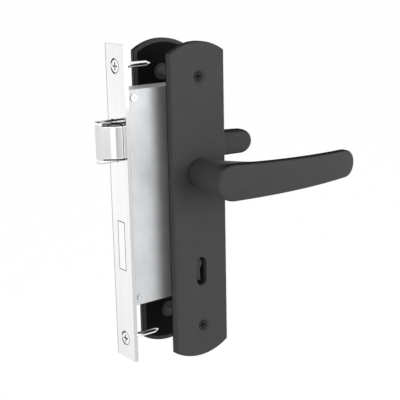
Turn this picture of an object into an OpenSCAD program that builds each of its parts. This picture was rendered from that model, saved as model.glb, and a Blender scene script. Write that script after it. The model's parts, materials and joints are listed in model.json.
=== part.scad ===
// Interior-door mortise lock with long-plate lever furniture on both door faces.
// X runs right along the near door face, Y runs into the door, Z is up.
// The origin is the spindle axis at the near door face.

/* [Door] */
// Thickness of the door between the two back plates
door_t = 40; // [38:0.5:46]
// Distance from the forend's outer face to the spindle axis
backset = 55; // [50:1:70]
// Depth of the lock's middle plane behind the near door face
lock_y = 18; // [17:0.5:21]
// Drop from the spindle axis to the key's axis
key_drop = 72; // [70:0.5:78]

/* [Forend] */
// Width of the forend
forend_w = 24; // [22:0.5:28]
// Length of the forend
forend_h = 235; // [225:1:250]
// Thickness of the forend
forend_t = 3; // [3:0.1:4]
// Height of the forend's top above the spindle axis
forend_rise = 96; // [90:1:104]
// Distance of each forend screw from the forend's end
forend_screw_inset = 15.5; // [12:0.5:17]
// Head radius of a forend screw
forend_screw_head_r = 5; // [4:0.1:5.5]
// Shank radius of a forend screw
forend_screw_r = 2; // [1.6:0.1:2.4]
// Length of a forend screw
forend_screw_l = 30; // [20:1:40]

/* [Case] */
// Gap between the case's top and the sleeves of the plate screws
case_head_gap = 3; // [1:0.5:8]
// Depth of the case below the keyhole
case_foot = 11; // [8:0.5:18]
// Depth of the case behind the spindle axis
case_back = 30; // [28:1:38]
// Sheet thickness of the case
case_wall = 1.2; // [0.8:0.1:1.5]
// Radius of a cover post
cover_post_r = 3; // [2.6:0.1:3.6]
// Distance of each cover post from the case's inner corner
cover_post_inset = 4.5; // [4:0.1:7]

/* [Latch] */
// Height of the latch's middle above the spindle axis
latch_z = 27; // [26.5:0.5:31]
// Height of the latch head
latch_h = 30; // [26:0.5:33]
// Height of the bevelled block on the latch head
latch_block_h = 25; // [20:0.5:26]
// Width of the latch head, across the door
latch_w = 15; // [13:0.1:15]
// Width of the latch head's flat end
latch_tip_w = 6.5; // [4:0.1:8]
// How far the latch stands out of the forend
latch_out = 14; // [11:0.5:14]
// Length of the latch head inside the forend's outer face
latch_in = 15; // [12:0.5:17]
// Radius of the bend in the latch's bevel
latch_bevel_r = 12; // [9:0.5:14]
// Radius of the latch stem
stem_r = 3; // [2.4:0.1:3.2]
// Wire radius of the latch spring
latch_wire_r = 0.45; // [0.3:0.05:0.6]

/* [Deadbolt] */
// Drop from the spindle axis to the deadbolt's middle
bolt_drop = 51; // [50:0.5:56]
// Height of the deadbolt
bolt_h = 36.5; // [30:0.5:38]
// Width of the deadbolt, across the door
bolt_w = 8.5; // [7:0.1:12]
// Length of the deadbolt's head
bolt_l = 28; // [24:0.5:30]
// Throw of the deadbolt
bolt_throw = 14; // [10:0.5:16]
// Thickness of the deadbolt's tail plate
tail_t = 3; // [2:0.1:4]
// Height of the tail plate
tail_h = 20; // [18:0.5:22]
// Radius of the post that guides the tail plate
guide_post_r = 3; // [2:0.1:3.4]
// Thickness of the detent leaf
leaf_t = 0.7; // [0.5:0.05:0.8]

/* [Follower] */
// Radius of the follower's hub
follower_r = 10; // [9:0.1:10.5]
// Radius of the follower's bearings in the case walls
follower_bearing_r = 7.5; // [6.6:0.1:8]
// Distance from the spindle axis to the middle of the arm's nose
arm_r = 20.5; // [19.5:0.1:20.8]
// Radius of the arm's nose
arm_nose_r = 3.6; // [3:0.1:3.8]
// Thickness of the follower's arms
arm_t = 6; // [4:0.5:8]
// Turn of the levers
lever_turn = 40; // [30:1:42]
// Distance from the spindle axis to the end of the return arm
return_r = 15; // [14:0.1:16]
// Wire radius of the return spring
return_wire_r = 0.6; // [0.4:0.05:0.7]
// Free height left for the return spring
return_spring_h = 27; // [24:0.5:28]

/* [Back plates] */
// Width of a back plate
plate_w = 49; // [44:0.5:56]
// Height of a back plate
plate_h = 240; // [230:1:260]
// Thickness of a back plate
plate_t = 5.5; // [5.2:0.1:8]
// Rise of the arc at each end of a plate
plate_arc = 7.5; // [5:0.5:12]
// Drop from the spindle axis to the plate's middle
plate_drop = 24.5; // [20:0.5:28]
// Radius of the plate's front edge
plate_edge_r = 2.2; // [1:0.1:3]
// Width of the rim round the recess in a plate's back
plate_wall = 3; // [2.5:0.1:4]
// Thickness of the nylon support in a plate's back
support_t = 1.6; // [1.2:0.1:2]
// Distance between the two plate screws
plate_screw_gap = 190; // [180:1:204]
// Head radius of a plate screw
plate_screw_head_r = 3.7; // [3:0.1:4.2]
// Thread radius of a plate screw
plate_screw_r = 2; // [1.5:0.1:2.2]
// Outer radius of a threaded sleeve
sleeve_r = 3.5; // [3.2:0.1:4]
// Width of the slot for the key
key_slot_w = 9; // [8:0.1:10]
// Height of the slot for the key
key_slot_h = 22.5; // [20:0.5:26]
// Drop from the key's axis to the middle of its slot in the plate
key_slot_drop = 4.5; // [2:0.5:5]

/* [Keyhole in the case] */
// Radius of the keyhole's round end
key_barrel_r = 4; // [3.5:0.1:4.3]
// Width of the keyhole's slot
key_bit_w = 4.6; // [4.4:0.1:5.5]
// Reach of the keyhole's slot below the key's axis
key_bit_r = 13; // [12:0.5:14]

/* [Levers] */
// Radius of the neck where it enters the plate
neck_r = 10.5; // [9.5:0.1:11]
// Radius of the neck's end, under the grip's front
shoulder_r = 13.3; // [11:0.1:14]
// Shift of the grip's round inner end along the grip
shoulder_x = 1; // [0:0.1:2]
// Drop of the grip's round inner end below the spindle axis
shoulder_drop = 1.6; // [0:0.1:3]
// Distance from the spindle axis to the grip's tip
grip_l = 119.5; // [100:0.5:135]
// Radius of the grip's round tip
tip_r = 10.6; // [9:0.1:12]
// Drop of the grip's tip below the spindle axis
tip_drop = 2.8; // [0:0.1:5]
// Distance from the door face to the grip's front
grip_front = 46; // [42:0.5:60]
// How far the middle of the grip bows out from the door
grip_bow = 6.5; // [0:0.5:8]
// Thickness of the grip beside the neck
grip_t = 13; // [10:0.5:15]
// Thickness of the grip at its tip
grip_tip_t = 10.5; // [8:0.5:12]
// Radius of the grip's front edge
grip_edge_r = 2; // [1:0.1:3]
// Radius of the grip's back edge at its tip
grip_back_r = 4.5; // [2:0.5:5]
// Reach of the hollow flare between the neck and the grip
flare_l = 20.5; // [10:0.5:26]

/* [Spindle and bearings] */
// Width of the square spindle
spindle_w = 8; // [7:0.1:8]
// Depth of the spindle's end behind each grip's front
spindle_cover = 14; // [12:0.5:20]
// Radius of the lever's journal in its bush
journal_r = 8.9; // [8.2:0.1:9.2]
// Outer radius of the bush
bush_r = 11.5; // [11.2:0.1:12.5]
// Thickness of the bush
bush_t = 2.3; // [1.8:0.1:2.4]
// Thickness of the circlip
clip_t = 1; // [0.8:0.05:1]
// Radius of a grub screw
grub_r = 2.5; // [2:0.1:3]

/* [Clearances] */
// Play of a sliding piece on each side
slide_gap = 0.3; // [0.2:0.05:0.4]
// Radial play of a turning or guided piece
run_gap = 0.05; // [0.03:0.01:0.09]
// Radial play of a fixed piece in its seat
seat_gap = 0.03; // [0.02:0.01:0.06]
// Radial gap around the neck and the screws
free_gap = 0.3; // [0.2:0.05:0.4]

/* [Hidden] */
$fn = 48;

// Facets of a lever around its outline, and along its flare and its edges
outline_n = 64;
side_n = 8;
flare_n = 12;
edge_n = 4;
face_n = 6;
// Shape of the flare: 2 is an ellipse, lower is straighter
flare_power = 1.6;

// Planes and edges that pieces share
forend_x = -backset;
forend_back = forend_x + forend_t;
case_w = latch_w + 2*(slide_gap + case_wall);
case_near = lock_y - case_w/2;
case_far = lock_y + case_w/2;
inner_near = case_near + case_wall;
inner_far = case_far - case_wall;
case_top = plate_screw_gap/2 - plate_drop - sleeve_r - case_head_gap;
case_bottom = -key_drop - key_bit_r - case_foot;
forend_mid = forend_rise - forend_h/2;
latch_near = lock_y - latch_w/2;
latch_far = lock_y + latch_w/2;
latch_rear = forend_x + latch_in;
plate_mid = -plate_drop;
key_slot_z = -key_drop - key_slot_drop;
bolt_z = -bolt_drop;
bolt_rear = forend_x + bolt_l;

// Angle of the follower's arm at rest, from upright towards the forend
arm_lean = lever_turn/2;
nose_x = -arm_r*sin(arm_lean);
nose_z = arm_r*cos(arm_lean);

// Guide of the stem: behind the latch head when it is drawn in
guide_t = 2.5;
guide_x = nose_x - arm_nose_r - slide_gap - guide_t - 2.8;
guide_h = 14;

// Yoke of the stem: a bridge over the arm and a lug in front of its nose
lug_x = nose_x + arm_nose_r + 0.1;
lug_t = 5.5;
bridge_z = arm_r + arm_nose_r + 0.5;
bridge_h = 6.4;
bridge_x = guide_x + guide_t + 0.5;
lug_bottom = nose_z - 1.5;
stem_in = 8;

// Return spring, its seat and the post that stops the return arm
return_mean_r = 4;
return_tip_r = 3;
return_turns = 7;
return_top = -return_tip_r - 0.2;
seat_top = return_top - return_spring_h;
seat_t = 1.8;
seat_reach = return_mean_r + return_wire_r + 1.9;
stop_r = 2.5;

// Latch spring
latch_mean_r = stem_r + latch_wire_r + 0.8;
latch_turns = 7;

// Detent leaf, its anchor and the notches in the tail plate
tail_top = bolt_z + 9;
notch_x = -16;
notch_w = 5;
notch_d = 2.2;
leaf_w = 6;
leaf_z = tail_top + 5;
leaf_curl = 4.4;
leaf_bend_w = 2.4;
leaf_bend_h = 1;
leaf_nose_w = 1;
anchor_r = 3;
anchor_x = return_r - seat_reach - anchor_r - 1;
post_x = 2;
tail_rear = post_x + bolt_throw + 2*guide_post_r;
rivet_r = 1.6;
rivet_step = 6;
tail_in = 11;
talon_w = 12;
talon_d = 4.5;

// Furniture: heights from the door face outwards
neck_shoulder = bush_t + 1.8;
clip_top = neck_shoulder - bush_t - 0.1;
collar_r = bush_r + 3.2;
boss_r = plate_screw_head_r + 2.6;
plate_r = (plate_w*plate_w/4 + plate_arc*plate_arc)/(2*plate_arc);
spindle_end = grip_front - spindle_cover;
grub_u = plate_t + 9;
screw_depth = door_t*0.62;
sleeve_l = door_t*0.6;
sleeve_seat = 3;

// A flat slab of an outline drawn in X and Z, between two depths
module slab(y0, y1) {
    translate([0, y1, 0]) rotate([90, 0, 0]) linear_extrude(y1 - y0) children();
}

// A round bar along Y
module bar_y(x, z, r, y0, y1) {
    translate([x, y1, z]) rotate([90, 0, 0]) cylinder(r = r, h = y1 - y0);
}

// A round bar along X
module bar_x(x0, x1, y, z, r) {
    translate([x0, y, z]) rotate([0, 90, 0]) cylinder(r = r, h = x1 - x0);
}

// A box between two corners
module block(a, b) {
    translate(a) cube(b - a);
}

// A slot outline with round ends, upright
module slot_up(w, h) {
    square([w, h - w], center = true);
    for (s = [-1, 1]) translate([0, s*(h - w)/2]) circle(d = w);
}

// A slot outline with round ends, lying along X between two middles
module slot_along(x0, x1, r) {
    translate([x0, -r]) square([x1 - x0, 2*r]);
    for (x = [x0, x1]) translate([x, 0]) circle(r);
}

// Furniture of the near side: x, height and distance from the door face
module near_side() {
    rotate([90, 0, 0]) children();
}

// The same furniture on the far side of the door
module far_side() {
    translate([0, door_t, 0]) mirror([0, 1, 0]) near_side() children();
}

// Coil spring along Z from 0 to h, as one wire with rings of 6 sides
module coil(mean_r, wire_r, turns, h) {
    steps = turns*8;
    sides = 6;
    pts = [for (k = [0:steps]) let (a = 45*k, z = wire_r + (h - 2*wire_r)*k/steps)
        for (i = [0:sides - 1]) let (b = 360*i/sides, r = mean_r + wire_r*cos(b))
            [r*cos(a), r*sin(a), z + wire_r*sin(b)]];
    side_faces = [for (k = [0:steps - 1]) for (i = [0:sides - 1])
        let (p = k*sides + i, q = k*sides + (i + 1)%sides)
            each [[p, q, q + sides], [p, q + sides, p + sides]]];
    first = [[for (i = [sides - 1:-1:0]) i]];
    last = [[for (i = [0:sides - 1]) steps*sides + i]];
    polyhedron(pts, concat(side_faces, first, last), convexity = 8);
}

// Outline of a bent strip along a path, with a thickness
function side_of(p, i, s, t) = let (
        a = p[max(i - 1, 0)], b = p[i], c = p[min(i + 1, len(p) - 1)],
        u = i == 0 ? (c - b)/norm(c - b) : (b - a)/norm(b - a),
        v = i == len(p) - 1 ? u : (c - b)/norm(c - b),
        n = [-u[1] - v[1], u[0] + v[0]],
        m = n/norm(n),
        k = s*t/2/(m*[-u[1], u[0]]))
    b + k*m;

module strip(path, t) {
    last = len(path) - 1;
    polygon(concat([for (i = [0:last]) side_of(path, i, 1, t)],
        [for (i = [last:-1:0]) side_of(path, i, -1, t)]));
}

// Outline of the latch head's cross-section, in Y and Z, grown by a gap
module latch_section(gap) {
    translate([latch_far - latch_tip_w - gap, -latch_h/2 - gap])
        square([latch_tip_w + 2*gap, latch_h + 2*gap]);
    translate([latch_near - gap, -latch_block_h/2 - gap])
        square([latch_w, latch_block_h + 2*gap]);
}

// The section drawn along X between two places
module latch_bar(x0, x1, gap) {
    translate([x0, 0, latch_z]) rotate([90, 0, 90]) linear_extrude(x1 - x0) latch_section(gap);
}

module deadbolt_bar(x0, x1, gap) {
    block([x0, lock_y - bolt_w/2 - gap, bolt_z - bolt_h/2 - gap],
        [x1, lock_y + bolt_w/2 + gap, bolt_z + bolt_h/2 + gap]);
}

module cover_post_places() {
    for (x = [forend_back + case_wall + cover_post_inset, case_back - case_wall - cover_post_inset])
        for (z = [case_bottom + case_wall + cover_post_inset, case_top - case_wall - cover_post_inset])
            translate([x, 0, z]) children();
}

// Keyhole outline in the case walls, in X and Z
module keyhole() {
    translate([0, -key_drop]) {
        circle(key_barrel_r);
        translate([-key_bit_w/2, -key_bit_r]) square([key_bit_w, key_bit_r]);
    }
}

// Folded tray: far wall, rim and four posts for the cover
module case_tray() {
    color("silver") difference() {
        union() {
            difference() {
                block([forend_back, inner_near, case_bottom], [case_back, case_far, case_top]);
                block([forend_back + case_wall, inner_near - 1, case_bottom + case_wall],
                    [case_back - case_wall, inner_far, case_top - case_wall]);
            }
            cover_post_places() bar_y(0, 0, cover_post_r, inner_near, inner_far + case_wall/2);
        }
        cover_post_places() bar_y(0, 0, cover_thread_r + seat_gap, inner_near - 1, inner_far - 2);
        latch_bar(forend_back - 1, forend_back + case_wall + 1, slide_gap);
        deadbolt_bar(forend_back - 1, forend_back + case_wall + 1, slide_gap);
        bar_y(0, 0, follower_bearing_r + run_gap, inner_far - 1, case_far + 1);
        slab(inner_far - 1, case_far + 1) keyhole();
    }
}

cover_thread_r = 1.5;
cover_head_r = 2.6;
cover_head_t = 1.2;
cover_screw_l = 7;

// Flat cover on the near side
module case_cover() {
    color("silver") difference() {
        block([forend_back, case_near, case_bottom], [case_back, inner_near, case_top]);
        cover_post_places() bar_y(0, 0, cover_thread_r + free_gap, case_near - 1, inner_near + 1);
        bar_y(0, 0, follower_bearing_r + run_gap, case_near - 1, inner_near + 1);
        slab(case_near - 1, inner_near + 1) keyhole();
    }
}

// Cross recess in a screw head that faces -Z at z = 0
module cross_recess(reach, depth) {
    for (a = [0, 90]) rotate(a) translate([-reach, -reach/5, -1]) cube([2*reach, reach*2/5, depth + 1]);
}

module cover_screws() {
    color("gray") cover_post_places() difference() {
        union() {
            bar_y(0, 0, cover_head_r, case_near - cover_head_t, case_near);
            bar_y(0, 0, cover_thread_r, case_near - cover_head_t/2, inner_near + cover_screw_l);
        }
        translate([0, case_near - cover_head_t, 0]) rotate([-90, 0, 0]) cross_recess(1.5, 0.7);
    }
}

module forend_screw_places() {
    for (s = [-1, 1]) translate([forend_x, lock_y, forend_mid + s*(forend_h/2 - forend_screw_inset)])
        rotate([0, 90, 0]) children();
}

// Height of a 90 degree countersunk head
forend_head_h = forend_screw_head_r - forend_screw_r;

module forend() {
    color("whitesmoke") difference() {
        block([forend_x, lock_y - forend_w/2, forend_rise - forend_h],
            [forend_back, lock_y + forend_w/2, forend_rise]);
        latch_bar(forend_x - 1, forend_back + 1, slide_gap);
        deadbolt_bar(forend_x - 1, forend_back + 1, slide_gap);
        forend_screw_places() {
            translate([0, 0, -seat_gap])
                cylinder(r1 = forend_screw_head_r + 2*seat_gap, r2 = forend_screw_r + 2*seat_gap,
                    h = forend_head_h);
            translate([0, 0, -1]) cylinder(r = forend_screw_r + free_gap, h = forend_t + 2);
        }
    }
}

module forend_screws() {
    color("whitesmoke") forend_screw_places() difference() {
        union() {
            cylinder(r1 = forend_screw_head_r, r2 = forend_screw_r, h = forend_head_h);
            translate([0, 0, forend_head_h])
                cylinder(r = forend_screw_r, h = forend_screw_l - forend_head_h - 4);
            translate([0, 0, forend_screw_l - 4]) cylinder(r1 = forend_screw_r, r2 = 0.2, h = 4);
        }
        cross_recess(2.9, 1.8);
    }
}

// Plan of the latch head, in X and Y: a straight bevel that bends into the near side
bend_x = forend_x + 1;
bend_y = latch_near + latch_bevel_r;
tip_x = forend_x - latch_out;
tip_y = latch_far - latch_tip_w;
bend_d = norm([bend_x - tip_x, bend_y - tip_y]);
bevel_a = atan2(bend_y - tip_y, bend_x - tip_x) - asin(latch_bevel_r/bend_d);
bevel_l = sqrt(bend_d*bend_d - latch_bevel_r*latch_bevel_r);
bevel_end = [tip_x + bevel_l*cos(bevel_a), tip_y + bevel_l*sin(bevel_a)];

module latch_plan() {
    intersection() {
        translate([tip_x, latch_near]) square([latch_out + latch_in, latch_w]);
        union() {
            translate([bend_x, bend_y]) circle(latch_bevel_r, $fn = 96);
            polygon([[tip_x, tip_y], bevel_end, [bend_x, bend_y], [bend_x, latch_near],
                [latch_rear, latch_near], [latch_rear, latch_far], [tip_x, latch_far]]);
        }
    }
}

module latch_head() {
    color("silver") difference() {
        intersection() {
            translate([0, 0, latch_z - latch_h/2 - 1]) linear_extrude(latch_h + 2) latch_plan();
            latch_bar(tip_x - 1, latch_rear + 1, 0);
        }
        bar_x(latch_rear - stem_in - seat_gap, latch_rear + 1, lock_y, latch_z, stem_r + seat_gap);
        translate([latch_rear - stem_in/2, lock_y, latch_z - latch_h])
            cylinder(r = latch_pin_r + seat_gap, h = 2*latch_h);
    }
}

latch_pin_r = 1.2;

// Round stem, bridge and lug in one piece
module latch_stem() {
    color("gray") difference() {
        union() {
            bar_x(latch_rear - stem_in, bridge_x + 1, lock_y, latch_z, stem_r);
            block([bridge_x, lock_y - arm_t/2, bridge_z],
                [lug_x + lug_t, lock_y + arm_t/2, bridge_z + bridge_h]);
            block([lug_x, lock_y - arm_t/2, lug_bottom], [lug_x + lug_t, lock_y + arm_t/2, bridge_z + 1]);
        }
        translate([latch_rear - stem_in/2, lock_y, latch_z - latch_h])
            cylinder(r = latch_pin_r + seat_gap, h = 2*latch_h);
    }
}

module latch_pin() {
    pin_l = latch_block_h - 2;
    color("dimgray") translate([latch_rear - stem_in/2, lock_y, latch_z - pin_l/2])
        cylinder(r = latch_pin_r, h = pin_l);
}

module latch_spring() {
    color("lightgray") translate([latch_rear + 0.2, lock_y, latch_z]) rotate([0, 90, 0])
        coil(latch_mean_r, latch_wire_r, latch_turns, guide_x - latch_rear - 0.4);
}

// Bracket across the case that the stem slides in
module stem_guide() {
    color("gray") difference() {
        block([guide_x, inner_near, latch_z - guide_h/2],
            [guide_x + guide_t, inner_far, latch_z + guide_h/2]);
        bar_x(guide_x - 1, guide_x + guide_t + 1, lock_y, latch_z, stem_r + run_gap);
    }
}

// Outline of an arm from the hub to a round nose, drawn upright
module arm(reach, nose_r, half_w) {
    translate([-half_w, 0]) square([2*half_w, reach]);
    translate([0, reach]) circle(nose_r);
}

// Hub with bearings, the arm that draws the latch and the arm that the return spring lifts
module follower() {
    color("darkgray") difference() {
        union() {
            bar_y(0, 0, follower_r, inner_near + slide_gap, inner_far - slide_gap);
            bar_y(0, 0, follower_bearing_r, case_near + 0.1, case_far - 0.1);
            slab(lock_y - arm_t/2, lock_y + arm_t/2) {
                rotate(arm_lean) arm(arm_r, arm_nose_r, arm_nose_r*0.62);
                rotate(-90) arm(return_r, return_tip_r, return_tip_r);
            }
        }
        slab(case_near - 1, case_far + 1) square(spindle_w + 2*run_gap, center = true);
    }
}

module follower_spring() {
    color("lightgray") translate([return_r, lock_y, seat_top + 0.2])
        coil(return_mean_r, return_wire_r, return_turns, return_spring_h - 0.2);
}

// Bracket across the case under the return spring, with a peg in the coil
module spring_seat() {
    color("gray") {
        block([return_r - seat_reach, inner_near, seat_top - seat_t],
            [return_r + seat_reach, inner_far, seat_top]);
        translate([return_r, lock_y, seat_top - seat_t/2])
            cylinder(r = return_mean_r - return_wire_r - 0.5, h = seat_t/2 + 5);
    }
}

// Post that the return arm rests against
module stop_post() {
    color("gray") bar_y(return_r, return_tip_r + stop_r + 0.1, stop_r, inner_near, inner_far);
}

module deadbolt_head() {
    color("silver") difference() {
        deadbolt_bar(forend_x, bolt_rear, 0);
        block([bolt_rear - tail_in - seat_gap, lock_y - tail_t/2 - seat_gap, bolt_z - bolt_h],
            [bolt_rear + 1, lock_y + tail_t/2 + seat_gap, bolt_z + bolt_h]);
        bolt_rivet_places() bar_y(0, 0, rivet_r + seat_gap, lock_y - bolt_w, lock_y + bolt_w);
    }
}

module bolt_rivet_places() {
    for (s = [-1, 1]) translate([bolt_rear - tail_in/2, 0, tail_mid + s*rivet_step]) children();
}

tail_mid = tail_top - tail_h/2;

// Tail plate with its guide slot, the two notches for the leaf and the talon for the key
module deadbolt_tail() {
    color("gray") difference() {
        slab(lock_y - tail_t/2, lock_y + tail_t/2) difference() {
            translate([bolt_rear - tail_in, tail_top - tail_h])
                square([tail_rear - bolt_rear + tail_in, tail_h]);
            translate([0, tail_mid])
                slot_along(post_x - slide_gap, post_x + bolt_throw + slide_gap, guide_post_r + run_gap);
            for (x = [notch_x, notch_x + bolt_throw])
                translate([x, tail_top]) polygon([[-notch_w/2, 0.01], [0, -notch_d], [notch_w/2, 0.01]]);
            translate([-talon_w/2, tail_top - tail_h - talon_w/2])
                square([talon_w, talon_d + talon_w/2 - 2]);
            translate([-talon_w/2 + 2, tail_top - tail_h - talon_w/2])
                square([talon_w - 4, talon_d + talon_w/2]);
            for (s = [-1, 1]) translate([s*(talon_w/2 - 2), tail_top - tail_h + talon_d - 2]) circle(2);
        }
        bolt_rivet_places() bar_y(0, 0, rivet_r + seat_gap, lock_y - bolt_w, lock_y + bolt_w);
    }
}

module bolt_rivets() {
    color("dimgray") bolt_rivet_places() bar_y(0, 0, rivet_r, lock_y - bolt_w/2, lock_y + bolt_w/2);
}

module bolt_guide_post() {
    color("gray") bar_y(post_x, tail_mid, guide_post_r, inner_near, inner_far);
}

// Leaf of spring steel whose nose drops into a notch
leaf_nose = tail_top - notch_d/2 + leaf_t/2;
leaf_path = [[anchor_x + 1.6*anchor_r, leaf_z], [notch_x + leaf_curl, leaf_z],
    [notch_x + leaf_bend_w, leaf_z - leaf_bend_h], [notch_x + leaf_nose_w/2, leaf_nose],
    [notch_x - leaf_nose_w/2, leaf_nose], [notch_x - leaf_bend_w, leaf_z - leaf_bend_h],
    [notch_x - leaf_curl, leaf_z]];

module detent_leaf() {
    color("lightgray") slab(lock_y - leaf_w/2, lock_y + leaf_w/2) strip(leaf_path, leaf_t);
}

// Slit post that grips the leaf
module detent_anchor() {
    color("gray") difference() {
        bar_y(anchor_x, leaf_z, anchor_r, inner_near, inner_far);
        slab(lock_y - leaf_w/2 - 0.1, lock_y + leaf_w/2 + 0.1) strip(leaf_path, leaf_t + 2*seat_gap);
    }
}

module spindle() {
    color("silver") slab(-spindle_end, door_t + spindle_end) square(spindle_w, center = true);
}

// Solid of a plate's outline: straight sides, arc ends and a rounded front edge
module plate_blank(inset, t, edge_r) {
    half = plate_w/2 - inset;
    r = plate_r - inset;
    reach = plate_h/2 - plate_r;
    intersection() {
        translate([0, plate_mid + plate_h, 0]) rotate([90, 0, 0]) linear_extrude(2*plate_h)
            union() {
                plate_edge(half, t, edge_r);
                mirror([1, 0]) plate_edge(half, t, edge_r);
            }
        union() {
            for (s = [-1, 1]) translate([0, plate_mid + s*reach, 0])
                rotate_extrude($fn = 128) plate_edge(r, t, edge_r);
            translate([-plate_w, plate_mid - reach, 0]) cube([2*plate_w, 2*reach, t]);
        }
    }
}

module plate_edge(half, t, edge_r) {
    square([half - edge_r, t]);
    square([half, t - edge_r]);
    if (edge_r > 0) translate([half - edge_r, t - edge_r]) circle(edge_r);
}

module plate_screw_places() {
    for (s = [-1, 1]) translate([0, plate_mid + s*plate_screw_gap/2, 0]) children();
}

plate_head_h = plate_screw_head_r - plate_screw_r;
boss_top = (plate_t + support_t)/2;

// Plate with a recess for its support, from which a collar for the lever and a boss at each screw stand up
module plate_body() {
    difference() {
        union() {
            difference() {
                plate_blank(0, plate_t, plate_edge_r);
                translate([0, 0, -1]) plate_blank(plate_wall, support_t + 1, 0);
            }
            cylinder(r = collar_r, h = boss_top);
            plate_screw_places() cylinder(r = boss_r, h = boss_top);
        }
        translate([0, 0, -1]) cylinder(r = bush_r + seat_gap, h = neck_shoulder + 1);
        cylinder(r = neck_r + free_gap, h = plate_t + 1);
        translate([0, key_slot_z, -1]) linear_extrude(plate_t + 2) slot_up(key_slot_w, key_slot_h);
    }
}

module near_plate() {
    color("#4a4c4e") near_side() difference() {
        plate_body();
        plate_screw_places() {
            translate([0, 0, plate_t - plate_head_h + seat_gap])
                cylinder(r1 = plate_screw_r + 2*seat_gap, r2 = plate_screw_head_r + 2*seat_gap,
                    h = plate_head_h);
            translate([0, 0, -1]) cylinder(r = plate_screw_r + free_gap, h = plate_t + 1);
        }
    }
}

module far_plate() {
    color("#4a4c4e") far_side() difference() {
        plate_body();
        plate_screw_places() translate([0, 0, -1])
            cylinder(r = sleeve_r + seat_gap, h = sleeve_seat + 1 + seat_gap);
    }
}

// Nylon support that fills the recess in the plate's back, with the keyhole in it
module support() {
    difference() {
        plate_blank(plate_wall + 0.1, support_t, 0);
        translate([0, 0, -1]) {
            cylinder(r = collar_r + free_gap, h = support_t + 2);
            plate_screw_places() cylinder(r = boss_r + free_gap, h = support_t + 2);
            linear_extrude(support_t + 2) keyhole();
        }
    }
}

module near_support() {
    color("#242526") near_side() support();
}

module far_support() {
    color("#242526") far_side() support();
}

// Nylon ring that the lever's journal turns in
module bush() {
    difference() {
        translate([0, 0, neck_shoulder - bush_t]) cylinder(r = bush_r, h = bush_t);
        cylinder(r = journal_r + run_gap, h = 2*neck_shoulder);
    }
}

module near_bush() {
    color("ivory") near_side() bush();
}

module far_bush() {
    color("ivory") far_side() bush();
}

groove_r = journal_r - 0.65;
clip_r = journal_r + 1.5;
clip_mouth = 7;
clip_ear_r = 1.6;
clip_eye_r = 0.6;
clip_ear_x = clip_mouth/2 + 1.1;
clip_ear_d = bush_r - 0.4 - clip_ear_r;
clip_ear_y = -sqrt(clip_ear_d*clip_ear_d - clip_ear_x*clip_ear_x);

// Open ring in the journal's groove, with an eye at each end
module circlip() {
    translate([0, 0, clip_top - clip_t]) difference() {
        union() {
            cylinder(r = clip_r, h = clip_t);
            for (s = [-1, 1]) translate([s*clip_ear_x, clip_ear_y, 0]) cylinder(r = clip_ear_r, h = clip_t);
        }
        translate([0, 0, -1]) {
            cylinder(r = groove_r + run_gap, h = clip_t + 2);
            translate([-clip_mouth/2, -2*clip_r, 0]) cube([clip_mouth, 2*clip_r, clip_t + 2]);
            for (s = [-1, 1]) translate([s*(clip_ear_x + 0.2), clip_ear_y - 0.4, 0])
                cylinder(r = clip_eye_r, h = clip_t + 2);
        }
    }
}

module near_circlip() {
    color("lightgray") near_side() circlip();
}

module far_circlip() {
    color("lightgray") far_side() circlip();
}

// The lever is lofted through closed rings. Each ring is the outline round two circles, one at the neck
// and one that travels from the neck to the grip's tip.
neck_back = grip_front - grip_t;
tip_back = grip_front - grip_tip_t;
tip_c = [grip_l - tip_r, -tip_drop];
shoulder_c = [shoulder_x, -shoulder_drop];
loft_r = neck_r - 0.1;

function neck_s(u) = max(0, (u - plate_t)/(grip_front - grip_edge_r - plate_t));
function neck_c(u) = neck_s(u)*shoulder_c;
function neck_rad(u) = loft_r + neck_s(u)*(shoulder_r - loft_r);

taper = (neck_rad(neck_back) - tip_r + grip_back_r)/norm(tip_c - neck_c(neck_back));

// Points along one straight side of a ring, between its two arcs
function side_points(from, to, out, bulge) = [for (k = [1:side_n]) let (t = k/(side_n + 1))
    from + t*(to - from) + 4*t*(1 - t)*bulge*[cos(out), sin(out), 0]];

function lever_ring(c1, r1, u1, c2, r2, u2) = let (
        n = outline_n/2,
        d = norm(c2 - c1),
        to_tip = tip_c - c1,
        dir = atan2(to_tip[1], to_tip[0]),
        al = d > 0.01 ? acos((r1 - r2)/d) : acos(taper),
        half_gap = 90*(side_n + 1)/(n + side_n)*max(0, 1 - d/12),
        bulge = (r1 + r2)/2*(1 - cos(half_gap)),
        a2 = al - half_gap,
        a1 = al + half_gap,
        tip_arc = [for (i = [0:n - 1]) let (b = dir - a2 + 2*a2*i/(n - 1))
            [c2[0] + r2*cos(b), c2[1] + r2*sin(b), u2]],
        neck_arc = [for (i = [0:n - 1]) let (b = dir + a1 + (360 - 2*a1)*i/(n - 1))
            [c1[0] + r1*cos(b), c1[1] + r1*sin(b), u1]])
    concat(tip_arc, side_points(tip_arc[n - 1], neck_arc[0], dir + al, bulge),
        neck_arc, side_points(neck_arc[n - 1], tip_arc[0], dir - al, bulge));

// Height of a point once the grip is bowed. The bow fades out towards the plate.
function bowed(p) = let (rise = min(1, max(0, (p[2] - plate_t)/(neck_back - plate_t))))
    [p[0], p[1], p[2] + grip_bow*rise*rise*(1 - pow(2*p[0]/grip_l - 1, 2))];

// Ring round the neck and a circle that lies at a distance from it towards the grip's tip
function slice(u, d, r) = let (c = neck_c(u), to_tip = tip_c - c)
    lever_ring(c, neck_rad(u), u, c + d*to_tip/norm(to_tip), r, u);

// Ring on the flare that turns the neck into the grip
function flare_ring(a) = let (
        u = plate_t + (neck_back - plate_t)*pow(sin(a), 2/flare_power),
        d = flare_l*(1 - pow(cos(a), 2/flare_power))/(1 - taper))
    slice(u, d, neck_rad(u) - taper*d);

flare_end = flare_l/(1 - taper);
flare_end_r = neck_rad(neck_back) - taper*flare_end;

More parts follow.
